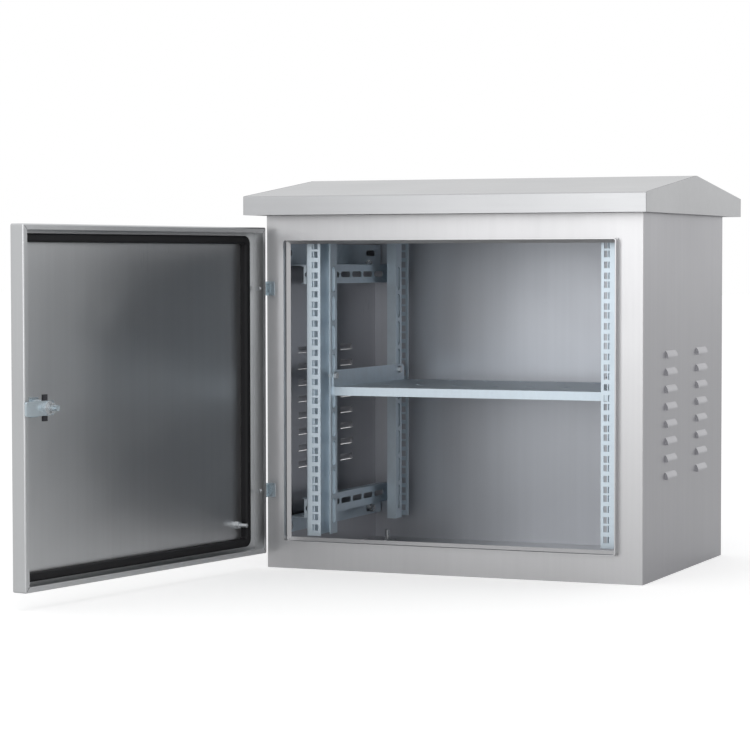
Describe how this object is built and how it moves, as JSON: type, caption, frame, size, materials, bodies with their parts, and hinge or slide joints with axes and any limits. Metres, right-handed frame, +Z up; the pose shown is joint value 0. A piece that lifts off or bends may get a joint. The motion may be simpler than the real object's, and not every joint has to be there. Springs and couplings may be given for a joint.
{
  "type": "outdoor equipment cabinet",
  "caption": "Stainless roadside equipment cabinet with a gabled rain roof, side louvres, 19-inch rails, a slotted shelf and a hinged door with a quarter-turn lock, shown open.",
  "frame": {"origin": "middle of the base, in the plane the cabinet stands on", "axes": "+Z up, +Y towards the back, +X to the right seen from the front; the door opening faces -Y"},
  "size_m": [0.7151, 1.0553, 0.593],
  "materials": {
    "stainless_sheet": "brushed, satin",
    "zinc_sheet": "blue-white zinc plating, satin",
    "plated_fastener": "bright zinc plating",
    "bright_hardware": "polished",
    "dark_collar": "satin",
    "gasket_foam": "matt foam",
    "grommet_rubber": "matt"
  },
  "bodies": {
    "cabinet": {"back_panel": "stainless_sheet", "bar_bolts": "plated_fastener", "bar_nuts": "plated_fastener", "cable_grommets": "grommet_rubber", "floor_earth_nut": "plated_fastener", "floor_earth_stud": "plated_fastener", "floor_earth_washer": "plated_fastener", "floor_panel": "stainless_sheet", "front_frame": "stainless_sheet", "front_left_rail": "zinc_sheet", "front_right_rail": "zinc_sheet", "hinge_pins": "plated_fastener", "left_roof_rib": "stainless_sheet", "left_side_panel": "stainless_sheet", "lower_hinge_bracket": "bright_hardware", "lower_left_cross_bar": "zinc_sheet", "lower_left_wall_support": "zinc_sheet", "lower_right_cross_bar": "zinc_sheet", "lower_right_wall_support": "zinc_sheet", "rain_roof": "stainless_sheet", "rear_left_rail": "zinc_sheet", "rear_right_rail": "zinc_sheet", "right_roof_rib": "stainless_sheet", "right_side_panel": "stainless_sheet", "roof_bolts": "plated_fastener", "roof_nuts": "plated_fastener", "shelf": "zinc_sheet", "shelf_bolts": "plated_fastener", "shelf_nuts": "plated_fastener", "support_bolts": "plated_fastener", "support_washers": "plated_fastener", "top_panel": "stainless_sheet", "upper_hinge_bracket": "bright_hardware", "upper_left_cross_bar": "zinc_sheet", "upper_left_wall_support": "zinc_sheet", "upper_right_cross_bar": "zinc_sheet", "upper_right_wall_support": "zinc_sheet"},
    "door": {"door_pan": "stainless_sheet", "door_gasket": "gasket_foam", "upper_hinge_eye": "bright_hardware", "lower_hinge_eye": "bright_hardware", "hinge_screws": "plated_fastener", "lock_housing": "bright_hardware", "lock_nut": "bright_hardware", "lock_collar": "dark_collar", "door_earth_stud": "plated_fastener", "door_earth_washer": "plated_fastener", "door_earth_nut": "plated_fastener"},
    "lock": {"lock_core": "bright_hardware", "lock_cam": "bright_hardware", "cam_washer": "plated_fastener", "cam_nut": "plated_fastener"}
  },
  "joints": [
    {"name": "door_hinge", "type": "hinge", "parent": "cabinet", "child": "door", "pos_m": [-0.3005, -0.225, 0.27], "axis": [0, 0, 1], "range_deg": [-21, 99]},
    {"name": "lock_turn", "type": "hinge", "parent": "door", "child": "lock", "pos_m": [-0.36503, -0.75392, 0.27025], "axis": [0.9877, -0.1564, 0], "range_deg": [0, 90]}
  ]
}
